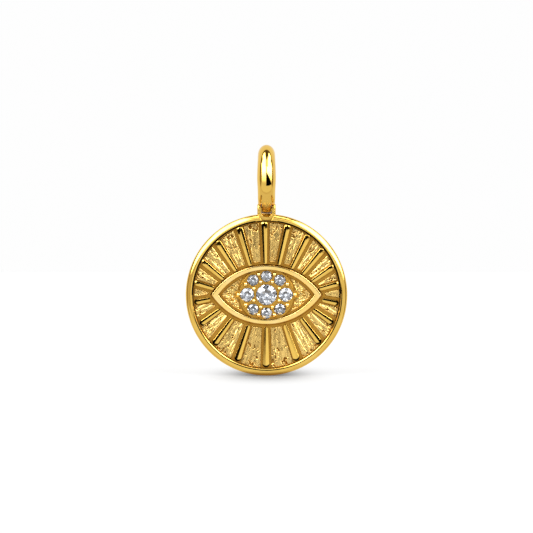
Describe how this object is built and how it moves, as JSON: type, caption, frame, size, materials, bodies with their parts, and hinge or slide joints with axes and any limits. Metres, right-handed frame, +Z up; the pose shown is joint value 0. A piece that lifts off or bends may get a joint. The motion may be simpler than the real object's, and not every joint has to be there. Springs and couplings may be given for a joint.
{
  "type": "charm pendant with a hinged bail",
  "caption": "Round medallion charm with a raised eye frame, stones in the iris, sunburst rays and a hinged loop bail for a chain.",
  "frame": {"origin": "where a chain sits, at the underside of the bail's crown", "axes": "+Z up, -Y out of the charm's front face, +X to the right as seen from the front"},
  "size_m": [0.012, 0.0036, 0.0172],
  "materials": {
    "polished_gold": "yellow gold plate, polished, with bark-textured panels",
    "white_stone": "clear brilliant-cut stones, polished"
  },
  "bodies": {
    "bail": {"bail": "polished_gold"},
    "medallion": {"medallion": "polished_gold", "hinge_pin": "polished_gold", "centre_stone": "white_stone", "side_stone_left": "white_stone", "side_stone_right": "white_stone", "small_stone_top": "white_stone", "small_stone_top_left": "white_stone", "small_stone_top_right": "white_stone", "small_stone_bottom": "white_stone", "small_stone_bottom_left": "white_stone", "small_stone_bottom_right": "white_stone"}
  },
  "joints": [
    {"name": "bail_hinge", "type": "hinge", "parent": "bail", "child": "medallion", "pos_m": [0, 0, -0.00389], "axis": [1, 0, 0], "range_deg": [-42, 42]}
  ]
}
